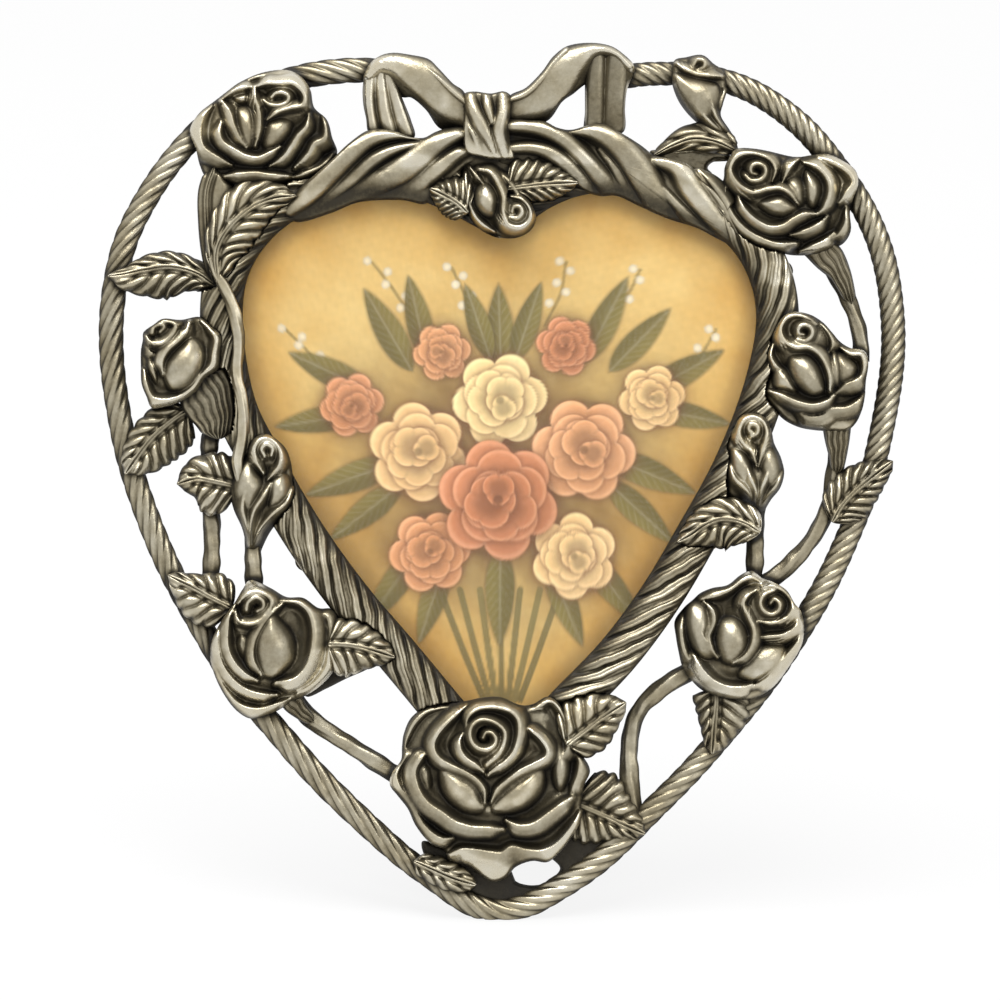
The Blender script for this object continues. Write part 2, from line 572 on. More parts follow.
# Leaves: line of the midrib from stalk to tip, each point with its half widths on the left and
# on the right, height of the blade's back, and number of side veins
LEAVES = {
    "leaf_top_left": ("218,284,4,12 217,252,12,26 229,228,22,30 250,209,28,26 "
        "272,199,20,16 297,196,4,4", 3.9, 7),
    "leaf_top_left_back": ("214,168,18,8 207,192,32,9 207,222,22,9 210,252,12,9 "
        "214,284,6,6", 2.6, 0),
    "leaf_upper_left": ("216,286,12,10 196,273,20,13 170,267,32,16 145,270,28,14 "
        "124,274,18,6 108,276,4,4", 2.4, 6),
    "leaf_left_rope": ("187,410,24,18 170,422,32,22 152,438,32,22 137,457,24,18 "
        "125,474,7,6", 1.7, 6),
    "leaf_left_fluted": ("200,378,28,28 211,396,24,32 218,416,17,28 219,439,12,14", 2.5, -7),
    "leaf_left_bud": ("238,487,22,24 216,482,34,30 196,479,24,22 177,484,4,4", 2.4, 5),
    "leaf_lower_left": ("232,608,22,20 210,597,30,26 190,586,24,14 168,575,4,4", 2.4, 5),
    "leaf_lower_left_inner": ("328,644,24,26 350,645,26,32 372,650,20,20 395,657,6,6", 3.9, 5),
    "leaf_top_right": ("738,152,6,8 716,142,12,17 693,139,12,16 672,146,7,10 653,156,3,3", 2.4, 3),
    "leaf_right_rope": ("832,522,10,14 845,502,24,26 866,482,22,20 893,461,5,5", 1.5, 7),
    "leaf_right_inner": ("760,532,14,14 741,522,26,20 722,519,32,22 705,525,26,18 "
        "690,535,14,12 677,542,4,4", 3.9, 6),
    "leaf_lower_right": ("717,690,32,26 716,712,33,20 714,732,24,13 712,754,7,6", 1.7, 5),
    "leaf_bottom_right_upper": ("566,745,26,20 586,730,35,26 604,716,28,20 626,702,6,5", 3.8, 5),
    "leaf_bottom_right_lower": ("574,803,34,32 598,813,42,34 620,823,28,20 645,834,8,6", 1.3, 6),
    "leaf_tip_left": ("414,861,10,10 434,870,15,14 455,879,15,14 476,885,6,6", 1.8, 4),
    "leaf_bow_left": ("468,213,14,9 457,203,18,24 445,196,15,21 430,189,4,5", 3.6, 6),
    "leaf_bow_right": ("508,189,28,10 530,186,28,16 552,184,22,16 578,183,5,4", 3.8, 6),
}


def leaf(name, points, level, veins):
    """Leaf blade along its midrib, u from stalk to tip and v across: two pillowed halves beside a
    corded midrib, fingers between grooves that slant towards the tip, a serrated edge and a flat
    back. A negative number of veins means flutes that run from stalk to tip."""
    line = smooth_line(points, 0.9)
    u = np.linspace(0, 1, len(line))[:, None]
    v = np.linspace(-1, 1, 61)[None, :]
    out = normals_of(line)
    for _ in range(10):
        out = np.vstack([out[:1], (out[:-2] + out[1:-1] + out[2:]) / 3, out[-1:]])
    out /= np.linalg.norm(out, axis=1, keepdims=True)
    if veins < 0:
        rounding = np.sqrt(np.clip(u / 0.08, 0.02, 1)) * np.sqrt(np.clip((1 - u) / 0.10, 0.04, 1))
    else:
        rounding = np.sqrt(np.clip(u / 0.10, 0.02, 1)) * np.clip((1 - u) / 0.07, 0.04, 1) ** 0.6

    def half_width(v):
        return np.where(v < 0, line[:, 3:4], line[:, 2:3]) * rounding

    half = half_width(v)
    sway = 0.22 * np.sin(u * 17 + v * 2.3 + len(line))
    finger = np.ones_like(half)
    if veins > 0:
        phase = pi * (veins * 1.15 * (u - 0.26 * np.abs(v) ** 1.1) + 0.3 * sway)
        finger = np.abs(np.sin(phase)) ** 0.7
        tooth = np.abs(np.sin(pi * (veins * 1.15 * (u - 0.26) + 0.3 * sway)))
        half = half * (0.96 + 0.075 * tooth * ramp(np.abs(v), 0.4, 1))
    elif veins < 0:
        finger = np.abs(np.sin(pi * (-veins * (v * 0.5 + 0.5) + 0.5 * sway))) ** 0.7
    away = np.abs(v * half)
    if veins < 0:
        top = (level + 1.0 + 0.9 * np.sqrt(1 - 0.9 * v ** 2) + 0.30 * (finger - 1)
               - 0.5 * ramp(np.abs(v), 0.88, 1.0) - 0.6 * ramp(u, 0.8, 1))
    else:
        pillow = np.sin(pi * np.clip(np.abs(v), 0, 1) ** 0.8) ** 0.9
        cord = (0.62 - 0.2 * u) * np.exp(-(away / 2.2) ** 2)
        top = (level + 0.75 + 1.0 * pillow * np.clip(half / 15, 0.25, 1)
               + 0.50 * (finger - 1) * ramp(away, 2.2, 6.0) * ramp(1.0 - u, 0, 0.1)
               + cord - 0.18 * np.exp(-((away - 4.6) / 1.6) ** 2)
               - 0.30 * ramp(np.abs(v), 0.9, 1.0))
    v_back = np.linspace(1, -1, 11)[None, 1:-1]
    across = np.concatenate([v * half, v_back * (half_width(v_back) * 0.86)], 1)
    height = np.concatenate([top, np.full((len(line), v_back.size), level)], 1)
    rings = np.dstack([line[:, None, :2] + out[:, None, :] * across[..., None], height])
    shade = np.zeros(rings.shape[:2])
    shade[:, v.size:] = WALL
    return Skin(name, rings, shade)


cast += [leaf(name, *values) for name, values in LEAVES.items()]


# Grids of the layout, one square a thousandth wide

def around(grid, choose):
    """Highest or lowest of each square and the eight beside it."""
    moves = [(dy, dx) for dy in (-1, 0, 1) for dx in (-1, 0, 1)]
    return choose([np.roll(grid, move, (0, 1)) for move in moves], 0)


def height_map(skins):
    """Highest point of the skins over each square, gaps filled by neighbours."""
    grid = np.full((GRID, GRID), BARE)
    for skin in skins:
        x, y = (np.clip(np.round(skin.points[:, k]).astype(int), 0, GRID - 1) for k in (0, 1))
        np.maximum.at(grid, (y, x), skin.points[:, 2])
    for _ in range(2):
        grid = np.where(grid == BARE, around(grid, np.max), grid)
    return grid


def sample(grid, p):
    """Value of a grid at places, between its four nearest squares."""
    x, y = np.clip(p[:, 0], 0, GRID - 1.01), np.clip(p[:, 1], 0, GRID - 1.01)
    left, top = x.astype(int), y.astype(int)
    a, b = x - left, y - top
    return ((1 - b) * ((1 - a) * grid[top, left] + a * grid[top, left + 1])
            + b * ((1 - a) * grid[top + 1, left] + a * grid[top + 1, left + 1]))


# Casting skin left between motifs: the motif it belongs to, its middle and its outline
WEBS = [
    ("rose_bottom", (472, 877), "422,842 440,846 470,856 500,865 510,870 514,878 518,888 522,898 "
        "500,904 470,894 440,876 426,860"),
    ("rose_bottom", (580, 857), "544,850 562,838 582,824 602,818 618,830 606,850 586,868 562,886 "
        "552,881 560,868"),
    ("rose_bottom", (538, 894), "508,879 520,884 532,886 545,884 556,878 568,880 562,890 548,899 "
        "530,904 512,905 504,892"),
    ("leaf_top_right", (690, 162), "650,151 672,149 700,148 728,150 728,160 718,160 711,163 "
        "708,168 713,175 704,185 690,177 670,164"),
    ("rose_lower_left", (338, 668), "306,660 324,650 350,650 376,660 368,669 346,679 326,689 "
        "306,697 300,680"),
]
# Blade of a leaf that lies half under the top right rose
BLADE = ("724,216,8,18 714,202,10,21 704,187,9,17 691,170,4,6", 3.4, 0)


def web_height(p, rim):
    """Flat skin with rounded edges and a slight unevenness."""
    return 1.5 - rounded_rim(rim, 5.0, 0.9) + 0.05 * wobble(p, 18, 9)


motifs = {skin.name: skin for skin in cast}
for motif, middle, outline in WEBS:
    web = disc("web", outline, middle, web_height, 0.12)
    web.shade[:] = WEB
    motifs[motif].join(web)
motifs["leaf_top_right"].join(leaf("blade", *BLADE))


# Rope, stems and bezel

ROPE = ("392,70 345,70 300,77 255,92 212,119 172,160 145,200 124,245 113,295 111,345 116,400 "
        "130,465 155,537 190,608 232,677 280,735 335,795 395,850 435,881 466,902 494,911 522,907 "
        "550,894 600,860 655,808 712,748 765,682 806,620 838,560 865,495 882,432 892,370 893,315 "
        "885,262 866,212 838,168 800,124 755,92 705,76 655,73 618,77")
WINDOW = ("500,238 474,226 446,211 410,198 372,194 334,202 300,217 270,241 250,272 243,308 "
          "246,356 257,404 278,446 303,492 334,541 372,592 414,641 458,694 486,727 502,738 "
          "519,727 552,692 602,640 644,583 680,522 711,466 735,410 750,360 756,318 750,282 "
          "732,250 703,227 668,213 640,202 612,193 580,196 550,208 524,226")
BOSSES = (8, 29, 14, 24)    # window points beside which a turn button sits on its lug


def tube_rings(line, radius, level, turn, shape):
    """Rings round a flat line: the place on a ring is the line's point plus the radius times
    cosine along its normal and sine upwards; shape gives the radius' factor for each place."""
    turn = turn[None]
    size = np.broadcast_to(np.asarray(radius, float).reshape(-1, 1), (len(line), 1))
    size = size * shape(walk(line)[:, None], turn)
    xy = line[:, None, :2] + normals_of(line)[:, None] * (size * np.cos(turn) / UNIT)[..., None]
    return np.dstack([xy, level + size * np.sin(turn)])


def turns(front, back):
    """Angles round a tube, closer together on its front than on its back."""
    return np.concatenate([np.linspace(radians(-20), radians(200), front, endpoint=False),
                           np.linspace(radians(200), radians(340), back, endpoint=False)])


def rope():
    """Seven strands laid up to the right: the radius follows the cosine of seven times the turn
    less the twist, with sharp grooves between round crests and fine yarns along them. The
    strands are laid closer on the right than on the left."""
    def strands(walked, turn):
        lay = np.interp(walked / walked.max(), [0, 0.12, 0.3, 0.42, 0.5, 0.56, 0.68, 0.8, 1.0],
                        [19, 18, 19, 26, 17, 19, 14, 11.5, 12])
        twist = np.cumsum(walked[1, 0] / lay, 0) * 2 * pi
        phase = 7 * turn - twist + 0.5 * np.sin(walked / 31)
        crest = np.abs(np.cos(phase / 2)) ** 0.8
        yarn = np.abs(np.sin(phase * 1.5 + 0.7 * np.sin(walked / 23)))
        uneven = 1 + 0.25 * np.sin(walked / 47) + 0.25 * np.sin(walked / 19 + turn)
        return 0.80 + 0.20 * crest * uneven ** 0.4 + 0.025 * yarn + 0.02 * np.sin(walked / 61)

    rings = tube_rings(smooth_line(ROPE, 1.6), 1.20, 1.15, turns(46, 10), strands)
    rings[..., 2] = np.maximum(rings[..., 2], 0.0)
    return Skin("outer_rope", rings)


def stem(name, points, radius, level, taper=0.0):
    """Round stem with long shallow flutes, a slow swelling along its length and thinner ends."""
    line = smooth_line(points, SPACING)
    share = np.linspace(0, 1, len(line))
    size = radius * (0.97 + 0.05 * np.sin(share * 9 + len(line)) + 0.03 * np.sin(share * 27))
    from_end = np.minimum(share, 1 - share) * len(line) * SPACING
    size = size * (1 - taper * (1 - ramp(from_end, -6, 34)))

    def flutes(walked, turn):
        return (1 + 0.06 * np.cos(turn * 5 + walked / 14) + 0.02 * np.sin(walked / 3.1 + turn)
                + 0.05 * np.sin(walked / 7.3) * np.cos(turn * 2 + walked / 11))

    return Skin(name, tube_rings(line, size, level, turns(24, 8), flutes))


window_line = smooth_line(WINDOW, SPACING, True)

# Section of the bezel beyond its front: how far out from the window and how high, down the outer
# wall, across the back and up the pocket
BEZEL_WIDTH = 42.9
BEZEL_BACK = points_of("42.9,3.2 42.9,2.0 42.9,0.9 42.6,0.0 34.0,0.0 25.0,0.0 16.4,0.0 16.3,1.2 "
                       "16.3,2.4 16.3,3.3 8.0,3.3 0.3,3.3")
# Lug behind a turn button: how far out from the window, and radius and height of its rings
LUG_REACH = 29.6
LUG = points_of("0.6,-0.3 10.4,-0.3 11.6,-0.22 12.24,-0.08 12.24,0.3 9.0,0.3")


def bezel():
    """Heart ring whose section runs over the crowned front, down the outer wall, across the back
    and up the pocket; strands of bark slant over the front at two widths. Under what is laid
    over it, it gives way. Four lugs, round but for a blunt corner outwards, are joined to it."""
    line = window_line
    out = normals_out(line, 4)
    front = np.linspace(0, 1, 57) * BEZEL_WIDTH
    away = np.concatenate([front, BEZEL_BACK[:, 0]])[None]
    flat = line[:, None] + out[:, None] * away[..., None]
    p = flat.reshape(-1, 2)
    total = np.linalg.norm(line - np.roll(line, 1, 0), axis=1).sum()
    walked = np.linspace(0, total, len(line), endpoint=False)[:, None]
    slant = radians(31)
    bend = (2.3 * wobble(p, 80, 11) + 0.45 * wobble(p, 26, 12)).reshape(len(line), -1)

    def strand(period, angle):
        count = round(total * sin(angle) / period)
        step = total * sin(angle) / count
        return (away * cos(angle) - walked * sin(angle) + bend) / step

    coarse = np.abs(np.cos(pi * strand(12.5, slant))) ** 0.75
    fine = np.abs(np.cos(pi * strand(4.9, slant * 0.93) + 1.1 * np.sin(walked / 30)))
    crown = np.sin(pi * np.clip(away / BEZEL_WIDTH, 0, 1)) ** 0.6
    x, y = flat[..., 0], flat[..., 1]
    swagged = ramp(238 - y, 0, 26) * ramp(x - 275, 0, 26) * ramp(738 - x, 0, 26)
    height = (3.45 + 1.40 * crown - 0.75 * swagged * crown
              + (0.55 * (coarse - 0.75) + 0.18 * (fine - 0.6)) * ramp(crown, 0.15, 0.6))
    cover = around(around(height_map(cast), np.min), np.min)
    cover = sample(np.where(cover > 0, cover, 99.0), p).reshape(height.shape)
    z = np.maximum(np.minimum(height, cover - 0.35), np.minimum(height, 2.2))
    z[:, front.size:] = BEZEL_BACK[:, 1]
    shade = np.zeros(z.shape)
    shade[:, front.size:] = WALL
    ring = Skin("heart_bezel", np.dstack([flat, z]), shade, joined=True)
    turn = np.linspace(0, 2 * pi, 40, endpoint=False)
    for boss in points_of(WINDOW)[list(BOSSES)]:
        at = ((line - boss) ** 2).sum(1).argmin()
        middle = line[at] + out[at] * LUG_REACH
        toward = np.cos(turn) * out[at, 0] + np.sin(turn) * out[at, 1]
        corner = 1 + 0.29 * np.exp(-((toward - 1) / 0.16) ** 2)
        size = LUG[:, :1] * corner
        rings = np.dstack([middle[0] + size * np.cos(turn), middle[1] + size * np.sin(turn),
                           np.broadcast_to(LUG[:, 1:], size.shape)])
        ring.join(Skin("boss", rings, np.full(size.shape, WALL)))
    return ring


cast += [rope(), bezel()]

# Stems: line, radius, level and taper of each run, and then the sheaves that hold them, as leaves
STEMS = {
    "stems_left": [
        ("214,408 211,430 208,462", 0.85, 1.15),
        ("210,500 212,540 210,582", 0.85, 1.15),
        ("252,520 253,555 254,596", 0.85, 1.15),
        ("210,258 216,272 226,290 235,314 239,342 237,372 243,404 243,434 "
         "238,462 241,490", 0.6, 4.95, 0.8)],
    "stems_lower_left": [
        ("286,690 310,718 350,746 404,780", 0.9, 1.15)],
    "stems_right": [
        ("862,362 860,335 851,305 838,278 820,250", 0.8, 1.25),
        ("837,420 838,452 834,480 828,508 812,540 786,568 755,590", 0.85, 1.15),
        ("757,500 756,540 754,584", 0.85, 1.15)],
    "stems_lower_right": [
        ("706,664 682,676 655,694 637,714 630,742 630,780 634,822", 0.9, 1.15)],
}
SHEAVES = {
    "stems_right": [
        ("822,240,8,24 830,256,14,18 841,275,11,11 852,304,6,6", 0.9, -4),
        ("838,422,14,16 838,440,12,13 838,457,9,9 837,474,6,6", 0.9, -4)],
    "stems_lower_left": [
        ("283,688,10,10 292,702,12,11 302,713,9,8 314,723,5,5", 0.9, -3)],
}
for name, runs in STEMS.items():
    bundle, *others = [stem(name, *run) for run in runs]
    for other in others + [leaf(name, *sheaf) for sheaf in SHEAVES.get(name, ())]:
        bundle.join(other)
    cast.append(bundle)


# Ribbon: middle, level of the back, height of the base, outline and rounded bands, each with
# its line as x, y, height and half width; a band's roll may be shallower, and the metal worn
RIBBONS = {
    "bow_loop_left": dict(
        center=(424, 84), back=2.4, base=3.0, worn=0.12,
        outline="466,96 452,83 438,68 428,59 410,55 392,53 378,57 368,66 363,80 370,90 386,88 "
                "402,97 412,98 426,110 441,129 466,130",
        bands=[
            "468,113,4.8,17 452,101,5.2,21 434,85,5.5,20 414,73,5.7,17 396,65,5.6,12 380,66,5.1,8 "
            "369,77,4.5,5",
            "468,104,5.4,5 452,91,5.7,5 438,78,5.7,4 426,68,5.4,3"]),
    "bow_return_left": dict(
        center=(386, 106), back=0.8, base=3.1, depth=0.9, worn=0.2,
        outline="368,70 363,84 363,102 366,118 370,134 392,137 414,137 411,120 402,97 396,78 "
                "382,68",
        bands=[
            "372,66,4.1,6.5 369,100,4.2,6.5 374,136,4.0,7",
            "380,64,4.1,6.5 384,106,4.3,7.5 391,136,4.0,8",
            "388,70,4.0,7 398,106,4.2,8 408,137,3.9,9"]),
    "bow_loop_right": dict(
        center=(558, 80), back=2.4, base=3.0, worn=0.12,
        outline="508,98 526,88 542,72 553,57 568,46 590,43 610,46 623,54 633,64 633,74 618,76 "
                "602,78 586,84 573,94 562,102 545,122 508,124",
        bands=[
            "506,110,4.7,14 526,103,5.1,20 543,91,5.4,23 560,74,5.7,20 576,60,5.7,14 595,50,5.4,7 "
            "615,53,5.0,5 630,67,4.6,5",
            "508,101,5.3,4 526,94,5.6,5 541,80,5.7,5 553,64,5.6,4 566,51,5.6,4"]),
    "bow_return_right": dict(
        center=(606, 92), back=0.8, base=3.1, depth=0.8, worn=0.46,
        outline="590,52 586,64 585,80 585,110 585,133 604,135 624,131 625,108 627,90 633,74 "
                "632,62 612,50",
        bands=[
            "596,46,4.3,9.5 595,96,4.3,9.5 594,136,4.0,9.5",
            "618,46,4.4,11 616,96,4.4,11 614,136,4.0,10.5"]),
    "bow_knot": dict(
        center=(490, 125), back=0.8, base=5.3, worn=0.07,
        outline="463,96 474,92 490,94 504,92 512,99 510,118 510,140 514,158 496,160 480,157 "
                "466,152 463,136 464,116",
        bands=[
            "471,94,5.6,7 473,108,6.3,8 482,126,6.5,9 490,142,6.2,7 495,156,5.4,5",
            "486,94,5.8,6 488,108,6.5,6 492,122,6.5,5",
            "503,94,5.8,7.5 503,112,6.5,7.5 499,132,6.6,8 505,156,5.6,7",
            "466,122,5.2,3.5 474,136,5.8,5 480,153,5.3,5",
            "480,137,5.8,3.5 488,154,5.3,4"]),
    "ribbon_swag_left": dict(
        center=(378, 170), back=1.4, base=3.6,
        outline="476,127 450,128 436,132 424,138 410,137 392,131 370,130 350,143 332,160 314,176 "
                "296,190 282,208 297,222 331,213 360,202 400,200 424,204 436,194 452,180 466,166 "
                "478,160",
        bands=[
            "286,214,3.9,14 330,196,4.2,24 375,186,4.3,30 420,178,4.3,30 470,148,3.9,22",
            "286,213,4.5,8 308,195,5.3,11 328,173,5.9,13 349,153,6.1,12 371,139,5.7,9 "
            "396,135,5.4,6 424,139,4.8,3",
            "316,208,3.9,10 350,180,5.0,9 372,161,5.4,8 394,150,5.5,6 420,144,5.3,3.5",
            "334,206,3.8,14 376,184,4.9,14 408,166,5.7,14 432,147,5.9,12 452,137,5.7,8 "
            "463,134,5.4,6 474,133,4.0,5",
            "398,198,3.8,13 430,174,5.2,11 454,156,5.5,8 464,152,5.3,6 474,150,4.0,5"]),
    "ribbon_swag_right": dict(
        center=(614, 164), back=1.4, base=3.6,
        outline="498,121 530,121 545,122 557,128 572,130 590,125 604,124 622,134 640,145 654,155 "
                "672,160 690,166 704,182 722,196 735,222 745,250 720,240 697,228 666,218 639,206 "
                "617,196 600,196 582,190 566,177 545,168 520,166 498,164",
        bands=[
            "496,148,4.3,20 560,156,4.3,26 610,170,4.3,32 660,190,4.3,30 704,208,4.2,22 "
            "742,246,3.9,10",
            "496,127,5.3,6 532,127,5.8,8 558,136,5.9,9 580,154,5.7,9 600,176,5.1,11 "
            "616,196,3.9,13",
            "496,150,5.1,6 532,148,5.5,7 556,156,5.5,9 576,174,5.0,10 594,196,3.9,11",
            "566,133,5.0,4 594,132,5.8,9 618,144,6.1,13 637,166,5.8,15 654,194,5.0,16 "
            "666,220,3.9,16",
            "600,150,4.6,5 616,170,4.9,7 632,200,3.8,9",
            "650,161,4.9,5 676,167,5.8,10 691,187,5.8,13 710,211,5.2,13 736,240,4.2,10",
            "702,182,5.3,4 717,198,5.3,5 730,219,4.8,6 744,248,3.8,6",
            "664,190,4.7,6 684,212,4.7,8 710,236,3.8,9"]),
}


def band_height(p, points, depth):
    """Roll of ribbon along a line: a half ellipse across its width, and a slope down outside."""
    away, at, _ = nearest(p, smooth_line(points, SPACING))
    height, half = at[:, 2], at[:, 3]
    share = np.clip(away / half, 0, 1)
    return height - depth * (1 - np.sqrt(1 - share ** 2 * 0.98)) - 0.16 * np.maximum(away - half, 0)


def ribbon(name, shape):
    """Bands of ribbon over a low base, smoothly joined where they meet, and worn brighter."""
    def height_at(p, rim):
        bands = [band_height(p, band, shape.get("depth", 1.3)) for band in shape["bands"]]
        z = soft_top(np.stack([np.full(len(p), shape["base"])] + bands), 0.05)
        return z - rounded_rim(rim, 3.0, 0.7) + 0.02 * wobble(p, 30, 5)

    body = disc(name, shape["outline"], shape["center"], height_at, shape["back"])
    body.shade[body.shade == 0] = -shape.get("worn", 0)
    return body


ribbons = {name: ribbon(name, shape) for name, shape in RIBBONS.items()}
for side in ("left", "right"):
    ribbons["bow_loop_" + side].join(ribbons.pop("bow_return_" + side))
cast += ribbons.values()


# Recesses: how far each place of the casting lies below what surrounds it

def blurred(grid, sigma):
    """Gaussian blur by the Fourier transform."""
    rows = np.fft.fftfreq(grid.shape[0])[:, None]
    columns = np.fft.rfftfreq(grid.shape[1])[None]
    fall = np.exp(-2 * (pi * sigma) ** 2 * (rows ** 2 + columns ** 2))
    return np.fft.irfft2(np.fft.rfft2(grid) * fall, grid.shape)


NEAR_BLUR, WIDE_BLUR = 3.0, 10.0      # squares
NEAR_DEPTH, WIDE_DEPTH = 0.55, 1.9    # millimetres below its surroundings that count as deep

surface = height_map(cast)
covered = (surface > BARE).astype(float)
filled = np.where(surface > BARE, surface, 0.0)
near_mean, wide_mean = (blurred(filled, sigma) / np.maximum(blurred(covered, sigma), 0.02)
                        for sigma in (NEAR_BLUR, WIDE_BLUR))


def recess(skin, facing):
    """0 on crests, 0.5 on even metal and 1 deep between the motifs. Slopes that don't face the
    front, where a buffing wheel doesn't reach, keep more of their patina, and so does the
    edge of the window. The back is even."""
    z = skin.points[:, 2]
    near = (sample(near_mean, skin.points) - z) / NEAR_DEPTH
    wide = (sample(wide_mean, skin.points) - z) / WIDE_DEPTH
    value = 0.40 + 0.37 * near + 0.25 * wide + 0.34 * ramp(1 - facing, 0.10, 0.75)
    value = value + np.minimum(skin.shade, 0) + 0.16 * (skin.name == "leaf_left_fluted")
    if skin.name.startswith(("heart_bezel", "ribbon_swag")):
        to_window = nearest(skin.points[:, :2], window_line[::3])[0]
        value = value + 0.34 * (1 - ramp(to_window, 1, 17))
    value = np.clip(value, 0, 1)
    value = np.where(skin.shade == WEB, 0.86,
                     np.where(skin.shade > 0.5, np.clip(value, 0.50, 0.72), value))
    behind = ramp(-facing, 0.1, 0.6)
    return value * (1 - behind) + 0.47 * behind


# Nodes

class Socket:
    """Output of a node; operators add Math nodes."""

    def __init__(self, shader, link):
        self.shader, self.link = shader, link

    def math(self, operation, *values):
        return self.shader.add("ShaderNodeMath", {"operation": operation}, dict(enumerate(values)))

    def __add__(self, other): return self.math("ADD", self, other)
    def __radd__(self, other): return self.math("ADD", other, self)
    def __sub__(self, other): return self.math("SUBTRACT", self, other)
    def __rsub__(self, other): return self.math("SUBTRACT", other, self)
    def __mul__(self, other): return self.math("MULTIPLY", self, other)
    def __rmul__(self, other): return self.math("MULTIPLY", other, self)
    def most(self, other): return self.math("MAXIMUM", self, other)
    def clamp(self): return self.shader.add("ShaderNodeClamp", {}, {"Value": self})


class Shader:
    """The nodes of a material or a world."""
    sockets = {"ior": "IOR", "specular": "Specular IOR Level"}

    def __init__(self, owner):
        self.owner = owner
        owner.use_nodes = True
        self.tree = owner.node_tree
        self.tree.nodes.clear()

    def add(self, kind, settings, inputs, output=0):
        """New node: settings first, then the values or links of its sockets."""
        node = self.tree.nodes.new(kind)
        for key, value in settings.items():
            if key == "stops":
                set_stops(node.color_ramp, value)
            else:
                setattr(node, key, value)
        for key, value in inputs.items():
            if isinstance(value, Socket):
                self.tree.links.new(value.link, node.inputs[key])
            else:
                node.inputs[key].default_value = value
        return Socket(self, node.outputs[output]) if node.outputs else None

    def attribute(self, name, output):
        return self.add("ShaderNodeAttribute", {"attribute_name": name}, {}, output)

    def place(self):
        return self.add("ShaderNodeTexCoord", {}, {}, "Object")

    def noise(self, scale, detail, rough, where=None):
        return self.add("ShaderNodeTexNoise", {}, {
            "Vector": where or self.place(), "Scale": scale, "Detail": detail, "Roughness": rough})

    def ramp(self, value, *stops):
        """Colour, or a grey where a stop has one number, along a value."""
        return self.add("ShaderNodeValToRGB", {"stops": stops}, {"Fac": value})

    def mix(self, factor, a, b, blend="MIX"):
        """Colour a where the factor is 0 and b, or both multiplied, where it is 1."""
        settings = {"data_type": "RGBA", "blend_type": blend}
        return self.add("ShaderNodeMix", settings, {0: factor, 6: a, 7: b}, 2)

    def bump(self, height, distance, strength):
        return self.add("ShaderNodeBump", {}, {
            "Height": height, "Distance": distance, "Strength": strength})

    def rays(self):
        """The rays that should see the plain background rather than light."""
        kinds = ("Is Camera Ray", "Is Glossy Ray", "Is Transmission Ray")
        return [self.add("ShaderNodeLightPath", {}, {}, kind) for kind in kinds]

    def principled(self, **inputs):
        """Principled surface with the given sockets."""
        return self.add("ShaderNodeBsdfPrincipled", {}, {
            self.sockets.get(key, key.replace("_", " ").title()): value
            for key, value in inputs.items()})

    def finish(self, surface, output="ShaderNodeOutputMaterial"):
        self.add(output, {}, {"Surface": surface})
        return self.owner


def set_stops(band, stops):
    while len(band.elements) > 1:
        band.elements.remove(band.elements[-1])
    for k, (position, *colour) in enumerate(stops):
        element = band.elements.new(position) if k else band.elements[0]
        element.position = position
        element.color = (*(colour * 3)[:3], 1)


def new_shader(name):
    return Shader(bpy.data.materials.new(name))


def pewter():
    """Antique pewter: worn bright on the crests and dark with patina in the recesses."""
    s = new_shader("antique_pewter")
    grain = s.noise(2600, 5, 0.65)
    cloud = s.noise(240, 4, 0.6)
    pits = s.noise(5200, 2, 0.5)
    deep = (s.attribute("recess", "Fac") + 0.24 * (grain - 0.5) + 0.36 * (cloud - 0.5)).clamp()
    colour = s.ramp(deep, (0.0, 0.62, 0.582, 0.478), (0.22, 0.44, 0.402, 0.305),
                    (0.42, 0.240, 0.213, 0.150), (0.58, 0.108, 0.092, 0.058),
                    (0.76, 0.032, 0.026, 0.014), (1.0, 0.010, 0.008, 0.005))
    warm = s.mix(s.ramp(cloud, (0.35, 0.0), (0.65, 0.35)), colour,
                 s.mix(1.0, colour, (1.0, 0.89, 0.66, 1), "MULTIPLY"))
    return s.finish(s.principled(
        base_color=warm,
        metallic=s.ramp(deep, (0.35, 0.92), (0.85, 0.35)),
        roughness=s.ramp(deep, (0.0, 0.27), (0.45, 0.36), (0.8, 0.62)),
        normal=s.bump(grain * 0.6 + pits * 0.4, 0.00006, 0.5)))


PEWTER = pewter()
FRONT = np.array([0.0, -cos(LEAN), sin(LEAN)])

for skin in cast:
    points = stand(skin.points)
    points[:, 2] = np.maximum(points[:, 2], 0.0)
    piece = put_mesh(skin.name + "_cast", points, skin.quads, skin.triangles)
    normals = np.empty(len(points) * 3, np.float32)
    piece.data.vertex_normals.foreach_get("vector", normals)
    give(piece, "recess", recess(skin, normals.reshape(-1, 3) @ FRONT))
    piece.data.materials.append(PEWTER)
    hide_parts(skin.name)


# Picture

# Hand tinted bouquet of the generic print: x, y, size, tint, and turn of each bloom
BLOOMS = [
    (498, 500, 56, (0.58, 0.23, 0.11), 0.3), (418, 452, 46, (0.82, 0.54, 0.26), 1.4),
    (584, 450, 48, (0.74, 0.38, 0.19), 2.2), (500, 400, 44, (0.90, 0.68, 0.34), 3.0),
    (430, 552, 38, (0.68, 0.32, 0.15), 0.9), (574, 556, 40, (0.86, 0.60, 0.30), 2.7),
    (352, 405, 30, (0.64, 0.29, 0.14), 4.0), (652, 398, 31, (0.84, 0.57, 0.27), 1.9),
    (442, 352, 27, (0.70, 0.35, 0.17), 5.1), (566, 346, 28, (0.60, 0.25, 0.12), 0.2),
]
# Rounds of petals of a bloom: share of its size, number of petals and depth of their lobes
ROUNDS = points_of("1.0,6,0.16 0.80,5,0.15 0.62,5,0.13 0.45,4,0.12 0.28,3,0.12")
